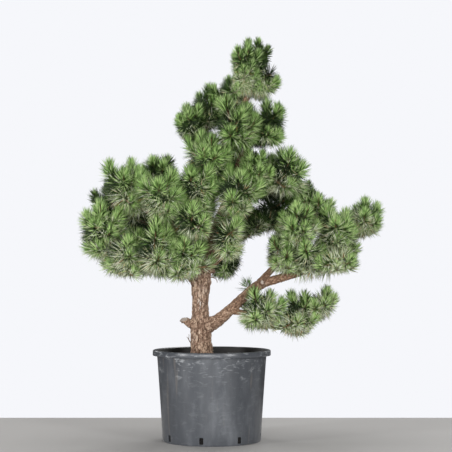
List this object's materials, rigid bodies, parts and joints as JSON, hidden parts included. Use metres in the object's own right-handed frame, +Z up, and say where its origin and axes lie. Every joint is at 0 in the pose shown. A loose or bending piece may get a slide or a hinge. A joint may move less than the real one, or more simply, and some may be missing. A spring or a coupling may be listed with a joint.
{
  "type": "potted mugo pine pre-bonsai",
  "caption": "Young mugo pine with a thick leaning trunk, a forked crown of needle tufts and a long low right bough, standing in a round grey nursery pot.",
  "frame": {"origin": "centre of the pot's flat underside", "axes": "+Z up along the pot's axis; -Y towards the pictured front; +X to the right in the picture, the side of the long low bough"},
  "size_m": [0.8431, 0.4506, 1.1008],
  "materials": {
    "bark": "rough, finely plated bark",
    "needles": "satin green needles",
    "pot_plastic": "satin moulded polypropylene",
    "growing_mix": "moist crumbly bark and peat mix"
  },
  "bodies": {
    "root": {"trunk": "bark", "right_bough": "bark", "right_fork": "bark", "right_riser": "bark", "low_bough": "bark", "low_twig": "bark", "left_bough": "bark", "left_low_bough": "bark", "left_back_bough": "bark", "centre_bough": "bark", "crown_bough": "bark", "back_bough": "bark", "mid_bough": "bark", "tier_left_bough": "bark", "left_tip": "needles", "left_low": "needles", "left_back": "needles", "left_top": "needles", "left_front_top": "needles", "left_front_low": "needles", "left_inner_low": "needles", "centre_top": "needles", "centre_front": "needles", "crown_front": "needles", "crown_front_low": "needles", "left_back_top": "needles", "back_left": "needles", "back_centre": "needles", "mid_front": "needles", "mid_back": "needles", "tier_left": "needles", "tier_left_back": "needles", "tier_top": "needles", "tier_front": "needles", "tier_right": "needles", "tier_back": "needles", "top_front": "needles", "top_tip": "needles", "top_right": "needles", "mid_right_inner": "needles", "mid_right": "needles", "mid_right_back": "needles", "back_dark": "needles", "back_middle": "needles", "back_low": "needles", "right_front": "needles", "right_inner": "needles", "right_top": "needles", "right_top_back": "needles", "right_centre": "needles", "right_tip": "needles", "right_low": "needles", "right_low_inner": "needles", "right_back": "needles", "low_inner": "needles", "low_middle": "needles", "low_tip": "needles", "pot": "pot_plastic", "soil": "growing_mix"}
  },
  "joints": []
}
